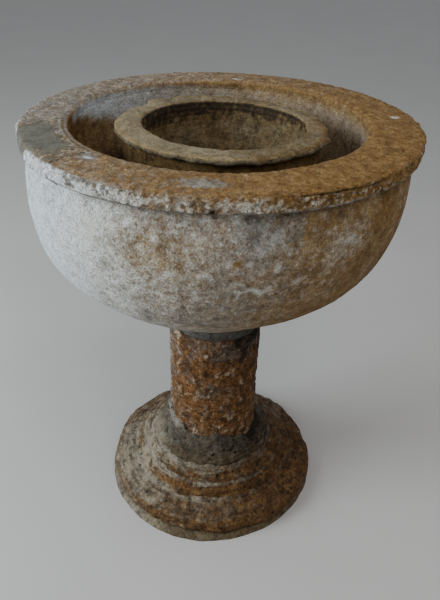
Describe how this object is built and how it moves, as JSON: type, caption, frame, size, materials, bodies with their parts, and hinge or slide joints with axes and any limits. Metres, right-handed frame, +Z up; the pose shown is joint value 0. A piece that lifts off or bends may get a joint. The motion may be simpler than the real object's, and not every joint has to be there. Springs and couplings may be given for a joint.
{
  "type": "baptismal font",
  "caption": "Free-standing round stone font: a deep bowl with a projecting rim on a cylindrical shaft and stepped base, with a smaller plugged basin bedded inside the bowl.",
  "frame": {"origin": "centre of the underside, on the floor under the shaft's axis", "axes": "+Z up along the shaft's axis, -Y towards the side the font is seen from, +X to the right of someone standing there"},
  "size_m": [0.86, 0.86, 1.0437],
  "materials": {
    "floor_bed_lime": "matte",
    "stepped_base_stone": "matte",
    "shaft_bed_lime": "matte",
    "haunching_mortar": "matte",
    "shaft_stone": "matte",
    "bowl_joint_lime": "matte",
    "bowl_stone": "matte",
    "rim_repair_lime": "matte",
    "basin_bed_lime": "matte",
    "inner_basin_stone": "matte",
    "drain_pipe_lead": "satin",
    "drain_plug_wood": "satin",
    "lower_dowel_left_iron": "matte",
    "lower_dowel_right_iron": "matte",
    "upper_dowel_left_iron": "matte",
    "upper_dowel_right_iron": "matte"
  },
  "bodies": {
    "font": {"floor_bed_mortar": "floor_bed_lime", "stepped_base": "stepped_base_stone", "shaft_bed_mortar": "shaft_bed_lime", "shaft_haunching": "haunching_mortar", "shaft": "shaft_stone", "bowl_joint_mortar": "bowl_joint_lime", "bowl": "bowl_stone", "rim_repair_mortar": "rim_repair_lime", "basin_bed_mortar": "basin_bed_lime", "inner_basin": "inner_basin_stone", "drain_pipe": "drain_pipe_lead", "lower_dowel_left": "lower_dowel_left_iron", "lower_dowel_right": "lower_dowel_right_iron", "upper_dowel_left": "upper_dowel_left_iron", "upper_dowel_right": "upper_dowel_right_iron"},
    "plug": {"drain_plug": "drain_plug_wood"}
  },
  "joints": [
    {"name": "plug_lift", "type": "slide", "parent": "font", "child": "plug", "axis": [0, 0, 1], "range_m": [0, 0.3]}
  ]
}
